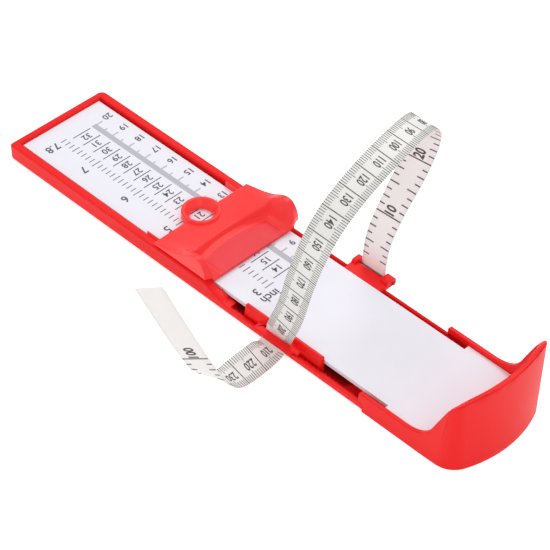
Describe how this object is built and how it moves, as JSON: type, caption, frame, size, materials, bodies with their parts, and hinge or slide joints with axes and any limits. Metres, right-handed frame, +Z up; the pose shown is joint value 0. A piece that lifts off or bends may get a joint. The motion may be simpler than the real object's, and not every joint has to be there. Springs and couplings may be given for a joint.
{
  "type": "foot measuring gauge",
  "caption": "Long shallow foot gauge with printed scales, a heel cup, a sliding toe stop with a reading ring, and a side carriage that holds a girth tape.",
  "frame": {"origin": "on the resting face, half way along the tray and heel cup, on the centre line between the rails", "axes": "+X towards the heel, +Y towards the side where the tape is anchored, +Z up out of the resting face"},
  "size_m": [0.252, 0.1263, 0.0799],
  "materials": {
    "red_plastic": "glossy moulded polystyrene, bright red",
    "clear_red_plastic": "glossy, slightly see-through red polystyrene",
    "white_plate": "satin white with plain printed scales",
    "pin_steel": "dull steel wire",
    "tape_band": "coated tape, grey borders and plain printed marks"
  },
  "bodies": {
    "gauge": {"base_tray": "red_plastic", "heel_cup": "red_plastic", "scale_plate": "white_plate"},
    "slider": {"toe_slider": "clear_red_plastic"},
    "carriage": {"tape_carriage": "red_plastic", "tape_pin": "pin_steel", "measuring_tape": "tape_band"}
  },
  "joints": [
    {"name": "toe_slide", "type": "slide", "parent": "gauge", "child": "slider", "axis": [1, 0, 0], "range_m": [-0.07, 0.004]},
    {"name": "carriage_slide", "type": "slide", "parent": "gauge", "child": "carriage", "axis": [1, 0, 0], "range_m": [-0.0035, 0.02]}
  ]
}
